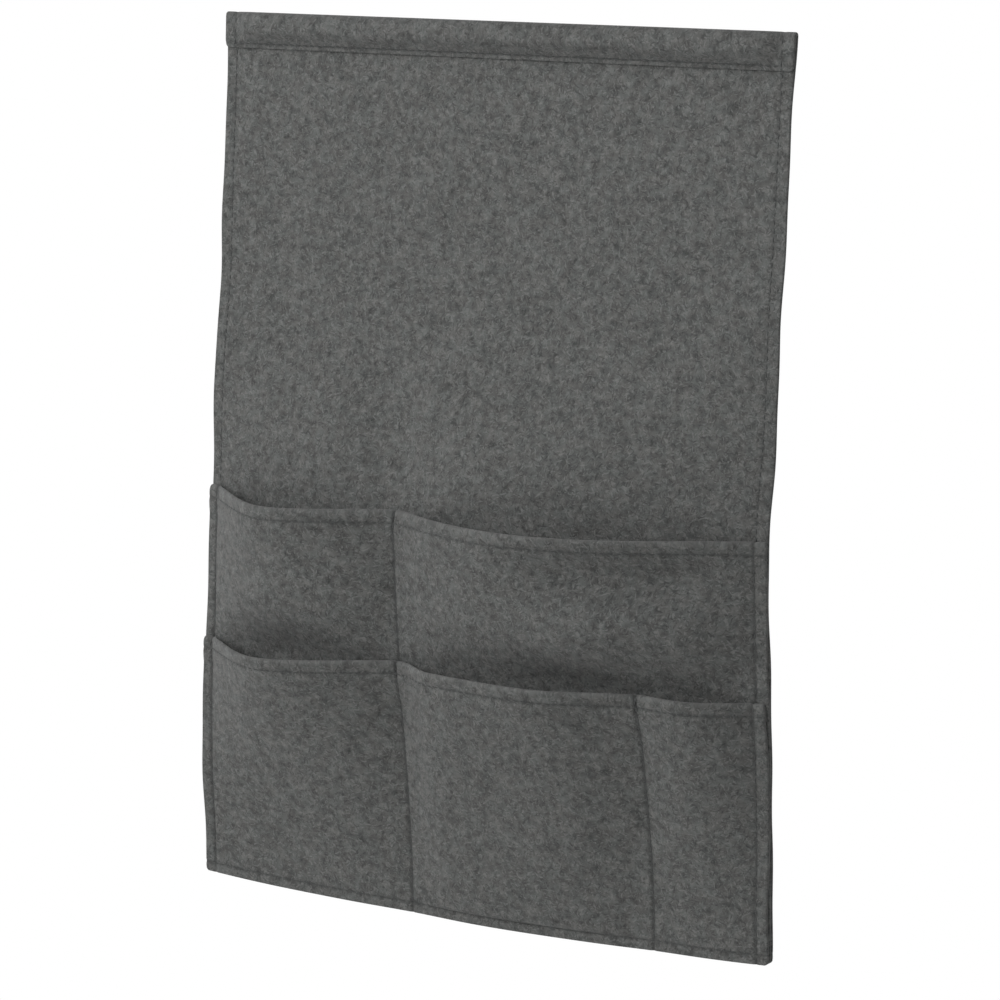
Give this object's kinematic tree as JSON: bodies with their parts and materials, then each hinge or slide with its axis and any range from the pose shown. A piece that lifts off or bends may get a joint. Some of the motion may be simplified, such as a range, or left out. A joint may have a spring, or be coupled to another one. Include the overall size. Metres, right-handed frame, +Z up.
{
  "type": "bedside caddy",
  "caption": "Felt bedside caddy: a flat panel with a rod in a sleeve along its top edge, a flap to tuck under a mattress, and layered pockets that hang below.",
  "frame": {"origin": "middle of the flat back face of the tuck flap", "axes": "+X to the right as seen from the pockets, +Y out of the back towards the bed, +Z up"},
  "size_m": [0.42, 0.1162, 0.605],
  "materials": {
    "felt": "dark grey melange felt, matt",
    "thread": "dark grey sewing thread",
    "rod": "off-white, smooth"
  },
  "bodies": {
    "flap": {"tuck_flap": "felt", "sleeve_rod": "rod", "sleeve_thread": "thread", "left_edge_thread_upper": "thread", "right_edge_thread_upper": "thread"},
    "panel": {"back_panel": "felt", "upper_pocket_strip": "felt", "lower_pocket_strip": "felt", "upper_mouth_thread": "thread", "lower_mouth_thread": "thread", "bottom_thread": "thread", "left_edge_thread_lower": "thread", "right_edge_thread_lower": "thread", "divider_1_thread": "thread", "divider_2_thread": "thread"}
  },
  "joints": [
    {"name": "flap_fold", "type": "hinge", "parent": "flap", "child": "panel", "pos_m": [0, 0, -0.0866], "axis": [1, 0, 0], "range_deg": [0, 90]}
  ]
}
